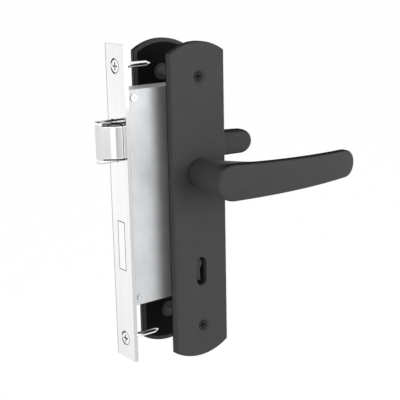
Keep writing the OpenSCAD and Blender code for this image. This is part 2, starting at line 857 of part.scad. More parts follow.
// Ring on the grip's back face, between the flare and the tip
function face_ring(t) = let (
        u = neck_back + t*(tip_back - neck_back),
        full = norm(tip_c - neck_c(u)))
    slice(u, flare_end + t*(full - flare_end), flare_end_r + t*(tip_r - grip_back_r - flare_end_r));

// Ring on the grip's back edge
function back_ring(a) = let (u = tip_back + grip_back_r*(1 - cos(a)))
    slice(u, norm(tip_c - neck_c(u)), tip_r - grip_back_r*(1 - sin(a)));

// Ring on the grip's front edge
function front_ring(a) = let (u = grip_front - grip_edge_r*(1 - sin(a)), cut = grip_edge_r*(1 - cos(a)))
    lever_ring(shoulder_c, shoulder_r - cut, u, tip_c, tip_r - cut, u);

lever_rings = concat([lever_ring([0, 0], loft_r, plate_t - 0.8, [0, 0], loft_r, plate_t - 0.8)],
    [for (j = [0:flare_n]) flare_ring(90*j/flare_n)],
    [for (j = [1:face_n - 1]) face_ring(j/face_n)],
    [for (j = [0:edge_n]) back_ring(90*j/edge_n)],
    [for (j = [0:edge_n]) front_ring(90*j/edge_n)]);

module lever_skin() {
    n = outline_n + 2*side_n;
    first = outline_n/4;
    last = len(lever_rings) - 1;
    walls = [for (k = [0:last - 1]) for (i = [0:n - 1]) let (p = k*n + i, q = k*n + (i + 1)%n)
        each [[p, p + n, q + n], [p, q + n, q]]];
    foot = [[for (i = [0:n - 1]) i]];
    face = [for (k = [0:n/2 - 2]) let (
        up = last*n + first + k,
        down = last*n + (first - 1 - k + n)%n,
        next_down = last*n + (first - 2 - k + n)%n)
        each [[up + 1, up, down], [up + 1, down, next_down]]];
    polyhedron([for (r = lever_rings) for (p = r) bowed(p)], concat(walls, foot, face), convexity = 6);
}

grub_l = 6;
foot_gap = 0.3;

// Lever with its journal, the socket for the spindle and the hole for the grub screw
module lever() {
    difference() {
        union() {
            lever_skin();
            translate([0, 0, neck_shoulder + 0.05]) cylinder(r = neck_r, h = plate_t - neck_shoulder - 0.35);
            translate([0, 0, foot_gap]) cylinder(r = groove_r, h = neck_shoulder);
            translate([0, 0, foot_gap]) cylinder(r = journal_r, h = clip_top - clip_t - 0.1 - foot_gap);
            translate([0, 0, clip_top + 0.05]) cylinder(r = journal_r, h = neck_shoulder - clip_top);
        }
        translate([0, 0, spindle_end/2 + 0.5])
            cube([spindle_w + 2*run_gap, spindle_w + 2*run_gap, spindle_end + 3], center = true);
        translate([0, 0, grub_u]) rotate([90, 0, 0]) cylinder(r = grub_r + seat_gap, h = 2*neck_r);
    }
}

module near_lever() {
    color("#454749") near_side() lever();
}

module far_lever() {
    color("#454749") far_side() lever();
}

module grub_screw() {
    translate([0, -spindle_w/2, grub_u]) rotate([90, 0, 0]) difference() {
        cylinder(r = grub_r, h = grub_l);
        translate([0, 0, grub_l - 2.4]) cylinder(r = grub_r*0.55, h = 3, $fn = 6);
    }
}

module grub_screws() {
    color("dimgray") {
        near_side() grub_screw();
        far_side() grub_screw();
    }
}

module plate_screws() {
    color("#3a3b3c") near_side() plate_screw_places() difference() {
        union() {
            translate([0, 0, plate_t - plate_head_h])
                cylinder(r1 = plate_screw_r, r2 = plate_screw_head_r, h = plate_head_h);
            translate([0, 0, -screw_depth])
                cylinder(r = plate_screw_r, h = screw_depth + plate_t - plate_head_h);
        }
        translate([0, 0, plate_t]) mirror([0, 0, 1]) cross_recess(2.5, 1.1);
    }
}

// Threaded sleeves held in the far plate's bosses
module plate_sleeves() {
    color("gray") far_side() plate_screw_places() difference() {
        translate([0, 0, -sleeve_l]) cylinder(r = sleeve_r, h = sleeve_l + sleeve_seat);
        translate([0, 0, -sleeve_l - 1]) cylinder(r = plate_screw_r + run_gap, h = sleeve_l);
    }
}

case_tray();
case_cover();
cover_screws();
forend();
forend_screws();
latch_head();
latch_stem();
latch_pin();
latch_spring();
stem_guide();
follower();
follower_spring();
spring_seat();
stop_post();
deadbolt_head();
deadbolt_tail();
bolt_rivets();
bolt_guide_post();
detent_leaf();
detent_anchor();
spindle();
near_plate();
far_plate();
near_support();
far_support();
near_bush();
far_bush();
near_lever();
far_lever();
near_circlip();
far_circlip();
grub_screws();
plate_screws();
plate_sleeves();
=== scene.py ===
"""Looks of the door lock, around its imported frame: finishes, round-wire springs, studio and camera."""

import json
import math

import bpy
from mathutils import Matrix, Vector


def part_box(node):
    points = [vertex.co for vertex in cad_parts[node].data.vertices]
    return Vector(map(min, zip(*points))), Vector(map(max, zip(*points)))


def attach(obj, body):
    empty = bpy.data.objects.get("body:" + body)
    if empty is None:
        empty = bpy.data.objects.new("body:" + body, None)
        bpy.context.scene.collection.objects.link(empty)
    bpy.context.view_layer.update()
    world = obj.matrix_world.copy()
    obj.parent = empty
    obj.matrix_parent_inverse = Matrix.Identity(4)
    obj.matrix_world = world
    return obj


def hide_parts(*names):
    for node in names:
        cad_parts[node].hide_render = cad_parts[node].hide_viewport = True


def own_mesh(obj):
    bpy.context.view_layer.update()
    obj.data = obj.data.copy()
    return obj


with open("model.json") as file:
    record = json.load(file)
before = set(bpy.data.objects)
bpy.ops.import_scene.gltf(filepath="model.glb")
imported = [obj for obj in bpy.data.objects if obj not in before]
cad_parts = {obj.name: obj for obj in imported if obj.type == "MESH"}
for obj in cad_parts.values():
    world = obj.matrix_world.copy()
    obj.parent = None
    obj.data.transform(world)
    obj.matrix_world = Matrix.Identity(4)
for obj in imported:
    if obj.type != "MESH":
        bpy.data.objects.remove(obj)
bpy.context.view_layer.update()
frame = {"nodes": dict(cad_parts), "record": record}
nodes = frame["nodes"]

MM = 0.001
X, Y, Z = range(3)


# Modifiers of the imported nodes.

WELD_GAP = 0.002 * MM
FLAT_BELOW = math.radians(0.3)
SMOOTH_BELOW = math.radians(28)
BEVEL_ABOVE = math.radians(40)
BEVEL_STEPS = 2


def smoothing_group(angle):
    """Node group that shades a mesh smooth and keeps only its edges over an angle sharp."""
    group = bpy.data.node_groups.new("smooth_by_angle", "GeometryNodeTree")
    for direction in ("INPUT", "OUTPUT"):
        group.interface.new_socket("Geometry", in_out=direction, socket_type="NodeSocketGeometry")
    start = group.nodes.new("NodeGroupInput")
    end = group.nodes.new("NodeGroupOutput")
    edge = group.nodes.new("GeometryNodeInputMeshEdgeAngle")
    over = group.nodes.new("FunctionNodeCompare")
    over.operation = "GREATER_THAN"
    over.inputs["B"].default_value = angle
    normal = group.nodes.new("GeometryNodeSetMeshNormal")
    normal.mode = "SHARPNESS"
    normal.inputs["Remove Custom"].default_value = True
    link = group.links.new
    link(edge.outputs["Unsigned Angle"], over.inputs["A"])
    link(start.outputs["Geometry"], normal.inputs["Mesh"])
    link(over.outputs["Result"], normal.inputs["Edge Sharpness"])
    link(normal.outputs["Mesh"], end.inputs["Geometry"])
    return group


SMOOTH = smoothing_group(SMOOTH_BELOW)


def refine(piece, bevel):
    """Joins a node's triangles, shades its round faces smooth and breaks its sharp edges."""
    weld = piece.modifiers.new("weld", "WELD")
    weld.merge_threshold = WELD_GAP
    flat = piece.modifiers.new("flat", "DECIMATE")
    flat.decimate_type = "DISSOLVE"
    flat.angle_limit = FLAT_BELOW
    smooth = piece.modifiers.new("smooth", "NODES")
    smooth.node_group = SMOOTH
    if bevel:
        edge = piece.modifiers.new("edge", "BEVEL")
        edge.width = bevel
        edge.segments = BEVEL_STEPS
        edge.limit_method = "ANGLE"
        edge.angle_limit = BEVEL_ABOVE
        edge.harden_normals = True


# Shader nodes, written as sums on fields.

# Half the width of a mask's soft step, where a finish doesn't give its own.
SOFT = 0.06 * MM


def feed(tree, socket, value):
    """Gives a socket a plain value, or links a field or another socket to it."""
    if isinstance(value, Field):
        value = value.socket
    if isinstance(value, bpy.types.NodeSocket):
        tree.links.new(value, socket)
    else:
        socket.default_value = value


def reckon(tree, operation, *values):
    """The result of a calculation on fields and plain numbers."""
    node = tree.nodes.new("ShaderNodeMath")
    node.operation = operation
    for socket, value in zip(node.inputs, values):
        feed(tree, socket, value)
    return Field(tree, node.outputs[0])


class Field:
    """A number that varies over a surface. A mask is a field that is 1 inside and 0 outside."""

    def __init__(self, tree, socket):
        self.tree = tree
        self.socket = socket

    def __add__(self, other):
        return reckon(self.tree, "ADD", self, other)

    def __sub__(self, other):
        return reckon(self.tree, "SUBTRACT", self, other)

    def __rsub__(self, other):
        return reckon(self.tree, "SUBTRACT", other, self)

    def __mul__(self, other):
        return reckon(self.tree, "MULTIPLY", self, other)

    def __truediv__(self, other):
        return reckon(self.tree, "DIVIDE", self, other)

    def __abs__(self):
        return reckon(self.tree, "ABSOLUTE", self)

    def __and__(self, other):
        """Where both masks are 1."""
        return self * other

    def __or__(self, other):
        """Where either mask is 1, or the larger of two numbers."""
        return reckon(self.tree, "MAXIMUM", self, other)

    def smaller(self, other):
        return reckon(self.tree, "MINIMUM", self, other)

    def sign(self):
        return reckon(self.tree, "SIGN", self)

    def root(self):
        return reckon(self.tree, "SQRT", self)

    def off(self, middle):
        """How far the number is from a middle, to either side."""
        return abs(self - middle)

    def mapped(self, from_low, from_high, to_low=0, to_high=1):
        """The number carried from one range to another, and held within it."""
        node = self.tree.nodes.new("ShaderNodeMapRange")
        feed(self.tree, node.inputs["Value"], self)
        node.inputs["From Min"].default_value = from_low
        node.inputs["From Max"].default_value = from_high
        node.inputs["To Min"].default_value = to_low
        node.inputs["To Max"].default_value = to_high
        return Field(self.tree, node.outputs["Result"])

    def above(self, edge, soft=SOFT):
        """Mask of where the number is over an edge, with a soft step."""
        return self.mapped(edge - soft, edge + soft)

    def below(self, edge, soft=SOFT):
        return 1 - self.above(edge, soft)

    def within(self, low, high, soft=SOFT):
        return self.above(low, soft) & self.below(high, soft)


def outside_box(a, b, box):
    """How far a point lies outside a box in two axes, below 0 when it is inside."""
    (a_low, a_high), (b_low, b_high) = box
    past_a = a.off((a_low + a_high) / 2) - (a_high - a_low) / 2
    past_b = b.off((b_low + b_high) / 2) - (b_high - b_low) / 2
    return past_a | past_b


def from_pair(a, a_at, b, b_middle, b_off):
    """Distance in two axes from the nearer of two points that mirror each other in b."""
    da = a - a_at
    db = b.off(b_middle) - b_off
    return (da * da + db * db).root()


def coordinates(tree, kind):
    return tree.nodes.new("ShaderNodeTexCoord").outputs[kind]


def axes(tree, vector):
    node = tree.nodes.new("ShaderNodeSeparateXYZ")
    feed(tree, node.inputs[0], vector)
    return [Field(tree, part) for part in node.outputs]


def blend(tree, mask, under, over, kind="MIX"):
    """The colour under where the mask is 0, the colour over where it is 1."""
    node = tree.nodes.new("ShaderNodeMix")
    node.data_type = "RGBA"
    node.blend_type = kind
    feed(tree, node.inputs["Factor"], mask)
    feed(tree, node.inputs["A"], under)
    feed(tree, node.inputs["B"], over)
    return node.outputs["Result"]


def ramp(tree, value, stops):
    """A colour that runs through the given ones, each at its place between 0 and 1."""
    node = tree.nodes.new("ShaderNodeValToRGB")
    elements = node.color_ramp.elements
    while len(elements) < len(stops):
        elements.new(0.5)
    for element, (at, colour) in zip(elements, stops):
        element.position = at
        element.color = colour
    feed(tree, node.inputs["Fac"], value)
    return node.outputs["Color"]


def opaque(colour, factor=1):
    """A colour made lighter or darker by a factor, with its alpha."""
    return (*(part * factor for part in colour), 1)


def grey(tone):
    return (tone, tone, tone)


WHITE = opaque(grey(1))


def steel_stops(*stops):
    """Stops of a ramp from places and tones, each tone a trace bluer than grey."""
    return [(at, (tone, tone, tone * 1.005, 1)) for at, tone in stops]


# Finishes: materials whose coordinates are the piece's own metres.

NOISE_LOW = 0.3
NOISE_HIGH = 0.7
POLISH_SPREAD = 0.03
DULL_GLINT = 0.05


class Finish:
    """A material in the making."""

    def __init__(self, name):
        self.material = bpy.data.materials.new(name)
        self.material.use_nodes = True
        self.tree = self.material.node_tree
        self.shader = self.tree.nodes["Principled BSDF"]

    def put(self, name, value):
        feed(self.tree, self.shader.inputs[name], value)

    def place(self):
        """Where each point of the surface lies in the piece's frame."""
        return axes(self.tree, coordinates(self.tree, "Object"))

    def facing(self):
        """The three parts of the surface's direction in the piece's frame."""
        return axes(self.tree, coordinates(self.tree, "Normal"))

    def noise(self, scale, stretch=(1, 1, 1), detail=2):
        """Noise in the piece's metres, stretched along the axes whose factor is under 1."""
        mapping = self.tree.nodes.new("ShaderNodeMapping")
        mapping.inputs["Scale"].default_value = stretch
        feed(self.tree, mapping.inputs["Vector"], coordinates(self.tree, "Object"))
        texture = self.tree.nodes.new("ShaderNodeTexNoise")
        texture.inputs["Scale"].default_value = scale
        texture.inputs["Detail"].default_value = detail
        feed(self.tree, texture.inputs["Vector"], mapping.outputs["Vector"])
        return Field(self.tree, texture.outputs["Fac"])

    def cloud(self, noise, colour, dark, light):
        """Lets the base colour run between a darker and a lighter colour as the noise does."""
        stops = ((NOISE_LOW, opaque(colour, dark)), (NOISE_HIGH, opaque(colour, light)))
        self.put("Base Color", ramp(self.tree, noise, stops))

    def roughen(self, noise, low, high):
        self.put("Roughness", noise.mapped(NOISE_LOW, NOISE_HIGH, low, high))

    def bump(self, height, depth, strength):
        node = self.tree.nodes.new("ShaderNodeBump")
        node.inputs["Strength"].default_value = strength
        node.inputs["Distance"].default_value = depth
        feed(self.tree, node.inputs["Height"], height)
        self.put("Normal", node.outputs["Normal"])

    def cover(self, mask, colour, kind="MIX"):
        """Puts a colour over what feeds the base colour, where the mask is 1."""
        under = self.shader.inputs["Base Color"].links[0].from_socket
        self.put("Base Color", blend(self.tree, mask, under, colour, kind))

    # Paints a grey tone where the mask is 1: every call paints shade, a highlight or a reflection into
    # the colour.
    def paint_light_and_shade(self, mask, tone):
        self.cover(mask, opaque(grey(tone)))

    def tint(self, colour):
        """Multiplies the base colour by one that varies over the piece."""
        self.cover(1, colour, "MULTIPLY")

    def dull(self, mask):
        """Takes the glancing shine off a metal where the mask is 1."""
        self.put("Specular Tint", blend(self.tree, mask, WHITE, opaque(grey(DULL_GLINT))))

    def matt(self, mask):
        """Takes the shine off a coat where the mask is 1."""
        shine = self.shader.inputs["Specular IOR Level"].default_value
        self.put("Specular IOR Level", (1 - mask) * shine)


def coat(name, colour, shine=0.22):
    """Matt stoved powder: a faint orange peel and a barely uneven tone."""
    finish = Finish(name)
    finish.cloud(finish.noise(scale=90, detail=4), colour, dark=0.95, light=1.05)
    grain = finish.noise(scale=1500, detail=3)
    finish.roughen(grain, 0.56, 0.66)
    finish.put("Specular IOR Level", shine)
    finish.bump(grain, depth=0.03 * MM, strength=0.25)
    return finish


def polished(name, tone, rough, along=(1, 1, 1)):
    """Polished metal with fine grinding lines along the axis whose factor is least."""
    finish = Finish(name)
    finish.put("Metallic", 1)
    finish.cloud(finish.noise(160, along, detail=3), (tone, tone, tone * 1.008), dark=0.97, light=1.02)
    fine = finish.noise(1800, along, detail=2)
    finish.roughen(fine, rough - POLISH_SPREAD, rough + POLISH_SPREAD)
    finish.bump(fine, depth=0.002 * MM, strength=0.2)
    return finish


def zinc(name, colour, rough, metal=0.85):
    """Zinc plate on sheet or bar: soft cloudy patches with a finer grain."""
    finish = Finish(name)
    finish.put("Metallic", metal)
    finish.cloud(finish.noise(scale=70, detail=5), colour, dark=0.92, light=1.05)
    grain = finish.noise(scale=1300, stretch=(1, 1, 0.15), detail=3)
    finish.roughen(grain, rough - 0.06, rough + 0.08)
    finish.bump(grain, depth=0.01 * MM, strength=0.25)
    return finish


def nylon(name, tone, rough, shine):
    """Moulded nylon with a slightly uneven skin."""
    finish = Finish(name)
    finish.put("Specular IOR Level", shine)
    skin = finish.noise(scale=240, detail=3)
    finish.cloud(skin, grey(tone), dark=0.93, light=1.04)
    finish.roughen(skin, rough - 0.05, rough + 0.05)
    finish.bump(skin, depth=0.02 * MM, strength=0.2)
    return finish


# Places and sizes that the painted shade and highlights go by, nearly all of them read off the frame's
# boxes.

def middle(node, axis):
    low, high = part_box(node)
    return (low[axis] + high[axis]) / 2


def half(node, axis):
    low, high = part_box(node)
    return (high[axis] - low[axis]) / 2


def side(node, grow=0):
    """A node's box seen along X, as its ranges in Y and Z."""
    low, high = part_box(node)
    return (low.y - grow, high.y + grow), (low.z - grow, high.z + grow)


FOREND_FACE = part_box("forend")[0].x
FOREND_Y = middle("forend", Y)
FOREND_Z = middle("forend", Z)
FOREND_HEAD = half("forend_screws", Y)
FOREND_SCREWS = half("forend_screws", Z) - FOREND_HEAD
PLATE_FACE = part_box("near_plate")[0].y
PLATE_Z = middle("plate_screws", Z)
PLATE_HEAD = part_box("plate_screws")[1].x
PLATE_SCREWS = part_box("plate_screws")[1].z - PLATE_Z - PLATE_HEAD
DOOR_MID = (PLATE_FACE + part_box("far_plate")[1].y) / 2
DOOR_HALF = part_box("far_plate")[0].y - DOOR_MID

# The latch head's box doesn't give how wide its upper and lower flanges are across the door,
# nor half the height of the block between them.
LATCH_FLANGE = 6.5 * MM
LATCH_BLOCK = 12.5 * MM

# The coat's colour, and the softness of the painted shade rings round the screws.
COAT = (0.0720, 0.0720, 0.0722)
RING_SOFT = 0.12 * MM


def forend_screw_ring(y, z):
    """Distance across the forend's face from the middle of the nearer screw."""
    return from_pair(y, FOREND_Y, z, FOREND_Z, FOREND_SCREWS)


def forend_screw_rise(z):
    """Height over or under the middle of the nearer screw."""
    return z.off(FOREND_Z).off(FOREND_SCREWS)


def forend_screw_shade(y, z):
    """The upper and lower part of each forend screw's far side, where its ring of painted shade is
    darkest.
    """
    return y.above(FOREND_Y, soft=0.8 * MM) & forend_screw_rise(z).above(1.6 * MM, soft=0.4 * MM)


def forend_finish():
    """Ground and polished strip, with painted shade at its ends, its edges and the gaps round the bolt,
    the latch and the screws' heads.
    """
    finish = polished("forend_steel_look", tone=0.965, rough=0.10, along=(1, 1, 0.04))
    _, y, z = finish.place()
    low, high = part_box("forend")
    # Painted shade: the strip is darker towards its top and bottom ends.
    painted_end_shade = steel_stops((0.0, 0.88), (0.3, 0.94), (0.55, 1.0), (0.8, 0.99), (1.0, 0.93))
    finish.tint(ramp(finish.tree, z.mapped(low.z, high.z), painted_end_shade))

    # Painted shade along the strip's edges, darkest along its far edge.
    finish.paint_light_and_shade(outside_box(y, z, side("forend")).above(-0.25 * MM), tone=0.62)
    finish.paint_light_and_shade(y.above(high.y - 0.7 * MM, soft=0.1 * MM), tone=0.22)
    # Painted shade in the gap round the deadbolt.
    bolt = outside_box(y, z, side("deadbolt_head", grow=0.38 * MM))
    finish.paint_light_and_shade(bolt.below(0), tone=0.05)

    # Painted shade in the gap round each screw's head, darkest on its far side.
    ring = forend_screw_ring(y, z)
    finish.paint_light_and_shade(ring.below(FOREND_HEAD + 0.3 * MM, RING_SOFT), tone=0.16)
    wide = ring.below(FOREND_HEAD + 0.7 * MM, RING_SOFT)
    finish.paint_light_and_shade(wide & forend_screw_shade(y, z), tone=0.02)

    # Painted shade in the gap round the latch head.
    across, upright = side("latch_head")
    mid = middle("latch_head", Z)
    flange = outside_box(y, z, ((across[1] - LATCH_FLANGE, across[1]), upright))
    block = outside_box(y, z, (across, (mid - LATCH_BLOCK, mid + LATCH_BLOCK)))
    finish.paint_light_and_shade(flange.smaller(block).below(0.35 * MM), tone=0.06)
    return finish


def forend_screw_finish():
    """Polished screws, with painted shade round the head, in the recess and darkest at the recess's upper
    and lower tips.
    """
    finish = polished("screw_steel_look", tone=0.93, rough=0.14)
    x, y, z = finish.place()
    # Painted shade round the head where it meets the forend, darkest on its far side.
    face = x.below(FOREND_FACE + 0.3 * MM)
    ring = forend_screw_ring(y, z)
    finish.paint_light_and_shade(ring.above(FOREND_HEAD - 0.3 * MM, RING_SOFT) & face, tone=0.16)
    wide = ring.above(FOREND_HEAD - 0.7 * MM, RING_SOFT)
    finish.paint_light_and_shade(wide & face & forend_screw_shade(y, z), tone=0.02)

    # Painted shade in the recess, darkest at its upper and lower tips.
    recess = x.within(FOREND_FACE + 0.12 * MM, FOREND_FACE + 2.5 * MM)
    finish.paint_light_and_shade(recess, tone=0.45)
    tips = forend_screw_rise(z).above(1.3 * MM, soft=0.2 * MM)
    finish.paint_light_and_shade(recess & tips, tone=0.12)
    return finish


def bolt_finish():
    """Polished bolt with a painted shade line round the end that lies flush."""
    finish = polished("bolt_steel_look", tone=0.965, rough=0.12, along=(1, 1, 0.05))
    x, y, z = finish.place()
    # Painted shade line round the bolt's end.
    rim = outside_box(y, z, side("deadbolt_head")).above(-0.22 * MM)
    finish.paint_light_and_shade(rim & x.below(FOREND_FACE + 0.6 * MM), tone=0.08)
    return finish


def latch_finish():
    """Bright chrome with painted reflections in bands across its bevel, bend and side, a painted
    highlight, and painted shade along its edges and corners.
    """
    finish = polished("latch_chrome_look", tone=0.95, rough=0.09, along=(0.2, 1, 1))
    x, y, z = finish.place()
    _, ny, nz = finish.facing()
    low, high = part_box("latch_head")
    inward = x - low.x
    rise = z - middle("latch_head", Z)
    off = abs(rise)
    ends = abs(nz).above(0.6, soft=0.1)

    # Painted reflections: bands of tone across the bevel, the bend and the side.
    tones = steel_stops((0.0, 0.72), (0.39, 0.71), (0.45, 0.98), (0.61, 0.97),
                        (0.66, 0.50), (0.80, 0.60), (0.92, 0.58), (0.94, 0.90))
    painted_reflection_bands = ramp(finish.tree, inward / (FOREND_FACE - low.x), tones)
    finish.cover(off.below(LATCH_BLOCK + 0.1 * MM), painted_reflection_bands)

    # Painted dark reflection on the flanges and their top and bottom faces.
    flange = ends & off.above(LATCH_BLOCK + 1 * MM) | off.above(LATCH_BLOCK + 2 * MM, soft=0.15 * MM)
    finish.paint_light_and_shade(flange, tone=0.30)
    # Painted shade along the upper flange's edges, with its glancing shine taken off.
    painted_shade_outline = inward.above(5.5 * MM, soft=1.5 * MM) | inward.below(0.8 * MM, soft=0.2 * MM)
    painted_shade_outline = painted_shade_outline & y.below(high.y - 2.4 * MM, soft=0.3 * MM) & rise.above(0)
    finish.paint_light_and_shade(flange & painted_shade_outline, tone=0.03)
    finish.dull(flange & painted_shade_outline)

    # Painted reflection streaks on the block's top and bottom faces.
    painted_reflection_streaks = finish.noise(260, stretch=(0.3, 1.6, 1), detail=3).above(0.5, soft=0.1)
    finish.paint_light_and_shade(ends & off.below(LATCH_BLOCK + 0.5 * MM) & painted_reflection_streaks, tone=0.2)

    # Painted highlight just inside the block's top and bottom edges.
    body = inward.above(1.3 * MM, soft=0.4 * MM)
    shine = off.within(LATCH_BLOCK - 1.5 * MM, LATCH_BLOCK - 0.7 * MM)
    finish.paint_light_and_shade(shine & body, tone=0.98)
    # Painted shade along the block's top and bottom edges and at its foot.
    rim = off.within(LATCH_BLOCK - 0.7 * MM, LATCH_BLOCK + 0.1 * MM)
    foot = rise.within(-LATCH_BLOCK - 0.1 * MM, -LATCH_BLOCK + 1.1 * MM)
    finish.paint_light_and_shade((rim | foot) & body, tone=0.03)

    # Painted shade where the block's top meets the flange, near the forend.
    root = rise.within(LATCH_BLOCK + 0.1 * MM, LATCH_BLOCK + 0.7 * MM)
    finish.paint_light_and_shade(root & inward.above(6 * MM, soft=0.8 * MM), tone=0.05)
    # Painted shade on the near face in the corner between the block and the upper flange.
    painted_shade_web = rise.above(LATCH_BLOCK + 0.1 * MM) & rise.below(LATCH_BLOCK + 1.7 * MM, soft=0.4 * MM)
    painted_shade_web = painted_shade_web & inward.above(1.9 * MM, soft=0.8 * MM) & inward.below(7 * MM, soft=1.5 * MM)
    finish.paint_light_and_shade(painted_shade_web & ny.below(-0.7, soft=0.1), tone=0.09)

    # Painted shade where the latch enters the forend.
    finish.paint_light_and_shade(x.within(FOREND_FACE - 0.25 * MM, FOREND_FACE + 0.9 * MM), tone=0.04)
    return finish


def dark_screw_finish():
    """Coated screws, with painted shade round the head and in the recess."""
    finish = coat("dark_screw_look", grey(0.042), shine=0.12)
    x, y, z = finish.place()
    # Painted shade round the head where it meets the plate, and in the recess.
    ring = from_pair(x, 0, z, PLATE_Z, PLATE_SCREWS).above(PLATE_HEAD - 0.5 * MM, soft=0.15 * MM)
    finish.paint_light_and_shade(ring & y.below(PLATE_FACE + 0.3 * MM), tone=0.006)
    finish.paint_light_and_shade(y.within(PLATE_FACE + 0.12 * MM, PLATE_FACE + 1.4 * MM), tone=0.003)
    return finish


def plate_finish():
    """The coat, with painted shade on the plate's rim and round the near plate's screws."""
    finish = coat("plate_coat_look", COAT)
    x, y, z = finish.place()
    nx, ny, nz = finish.facing()
    # Painted shade on the rim, darker on its right, top and bottom faces and darkest where the plates
    # meet the door.
    outer = abs(x).above(12 * MM) | z.off(PLATE_Z).above(100 * MM)
    rim = abs(ny).below(0.65, soft=0.25) & outer
    finish.paint_light_and_shade(rim, tone=0.069)
    away = rim & (nx.above(0.3, soft=0.2) | abs(nz).above(0.4, soft=0.2))
    finish.paint_light_and_shade(away, tone=0.046)
    foot = rim & y.off(DOOR_MID).below(DOOR_HALF + 1.1 * MM, soft=0.4 * MM)
    finish.paint_light_and_shade(foot, tone=0.026)
    finish.matt(away | foot)

    # Painted shade: a soft halo round the near plate's screws.
    near = from_pair(x, 1.3 * MM, z, PLATE_Z - 0.6 * MM, PLATE_SCREWS)
    finish.paint_light_and_shade(near.below(PLATE_HEAD + 1.1 * MM, soft=1.5 * MM) & y.below(0), tone=0.042)
    return finish


def lever_finish():
    """The coat, with painted shade round the grip's edges and at the top of the flare."""
    finish = coat("lever_coat_look", COAT)
    x, y, z = finish.place()
    nx, ny, nz = finish.facing()
    # Painted shade on the grip's sides, darker along its edges and on top of the flare.
    grip = x.above(16 * MM, soft=8 * MM)
    finish.paint_light_and_shade(grip & abs(ny).below(0.65, soft=0.3), tone=0.060)
    outward = ny * (y - DOOR_MID).sign()
    painted_shade_outline = abs(nz).above(0.4, soft=0.2) | nx.above(0.4, soft=0.2)
    painted_shade_outline = grip & outward.within(-0.8, 0.25, soft=0.15) & painted_shade_outline
    root = y.off(DOOR_MID).above(DOOR_HALF + 36 * MM, soft=4 * MM) & nz.above(0.8, soft=0.12)
    finish.paint_light_and_shade(painted_shade_outline | root, tone=0.036)
    finish.matt(painted_shade_outline | root)
    return finish


FINISHES = {
    "plate_coat": plate_finish(),
    "lever_coat": lever_finish(),
    "dark_screw": dark_screw_finish(),
    "forend_steel": forend_finish(),
    "screw_steel": forend_screw_finish(),
    "latch_chrome": latch_finish(),
    "bolt_steel": bolt_finish(),
    "zinc_sheet": zinc("zinc_sheet_look", (0.70, 0.71, 0.72), rough=0.45, metal=0.5),
    "zinc_screw": zinc("zinc_screw_look", (0.70, 0.71, 0.73), rough=0.30),
    "inner_steel": zinc("inner_steel_look", (0.62, 0.63, 0.65), rough=0.34),
    "spring_steel": polished("spring_steel_look", tone=0.61, rough=0.22),
    "follower_zinc": zinc("follower_zinc_look", (0.60, 0.61, 0.63), rough=0.42),
    "spindle_steel": zinc("spindle_steel_look", (0.68, 0.69, 0.71), rough=0.30),
    "black_nylon": nylon("black_nylon_look", tone=0.006, rough=0.7, shine=0.08),
    "bush_nylon": nylon("bush_nylon_look", tone=0.014, rough=0.6, shine=0.15),
}

# Widths of the broken edges. The levers' edges are round already.
BEVELS = {
    "near_lever": 0, "far_lever": 0, "near_plate": 0.25 * MM, "far_plate": 0.25 * MM,
    "forend": 0.15 * MM, "latch_head": 0.3 * MM, "deadbolt_head": 0.12 * MM,
    "case_tray": 0.25 * MM, "case_cover": 0.2 * MM, "spindle": 0.3 * MM,
}
SMALL_BEVEL = 0.06 * MM

slots = {part["node"]: part["material_slot"] for part in frame["record"]["subparts"]}
for node, piece in nodes.items():
    for slot in piece.material_slots:
        slot.material = FINISHES[slots[node]].material
    refine(piece, BEVELS.get(node, SMALL_BEVEL))


# Springs of round wire.

COIL_TURNS = 7
COIL_STEPS = 28
WIRE_SIDES = 10
RETURN_WIRE = 0.6 * MM
LATCH_WIRE = 0.45 * MM


def coil(name, mean_r, wire_r, length):
    """Compression spring along Z from 0 to length, with one closed turn at each end."""
    steps = COIL_TURNS * COIL_STEPS
    closed = 2 * wire_r
    free = length - 2 * wire_r - 2 * closed
    rings = []
    for k in range(steps + 1):
        turn = COIL_TURNS * k / steps
        low = min(turn, 1) * closed
        high = max(turn - (COIL_TURNS - 1), 0) * closed
        mid = min(max(turn - 1, 0), COIL_TURNS - 2) / (COIL_TURNS - 2) * free
        z = wire_r + low + mid + high
        a = 2 * math.pi * turn
        for i in range(WIRE_SIDES):
            b = 2 * math.pi * i / WIRE_SIDES
            r = mean_r + wire_r * math.cos(b)
            rings.append((r * math.cos(a), r * math.sin(a), z + wire_r * math.sin(b)))
    faces = []
    for k in range(steps):
        for i in range(WIRE_SIDES):
            p, q = k * WIRE_SIDES + i, k * WIRE_SIDES + (i + 1) % WIRE_SIDES
            faces.append((p, p + WIRE_SIDES, q + WIRE_SIDES, q))
    faces.append(tuple(range(WIRE_SIDES)))
    faces.append(tuple(steps * WIRE_SIDES + i for i in reversed(range(WIRE_SIDES))))
    mesh = bpy.data.meshes.new(name)
    mesh.from_pydata(rings, [], faces)
    for face in mesh.polygons:
        face.use_smooth = len(face.vertices) == 4
    mesh.materials.append(FINISHES["spring_steel"].material)
    piece = bpy.data.objects.new(name, mesh)
    bpy.context.collection.objects.link(piece)
    return piece


def seat_coil(piece, matrix):
    """Puts a spring's mesh in its place in the case."""
    piece.data.transform(matrix)
    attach(piece, "lock")


low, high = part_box("follower_spring")
foot = (middle("follower_spring", X), middle("follower_spring", Y), low.z)
return_coil = coil("return_coil", half("follower_spring", X) - RETURN_WIRE, RETURN_WIRE, high.z - low.z)
seat_coil(return_coil, Matrix.Translation(foot))
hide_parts("follower_spring")
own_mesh(return_coil)

low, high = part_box("latch_spring")
foot = (low.x, middle("latch_spring", Y), middle("latch_spring", Z))
latch_coil = coil("latch_coil", half("latch_spring", Z) - LATCH_WIRE, LATCH_WIRE, high.x - low.x)
seat_coil(latch_coil, Matrix.Translation(foot) @ Matrix.Rotation(math.pi / 2, 4, "Y"))
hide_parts("latch_spring")
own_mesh(latch_coil)


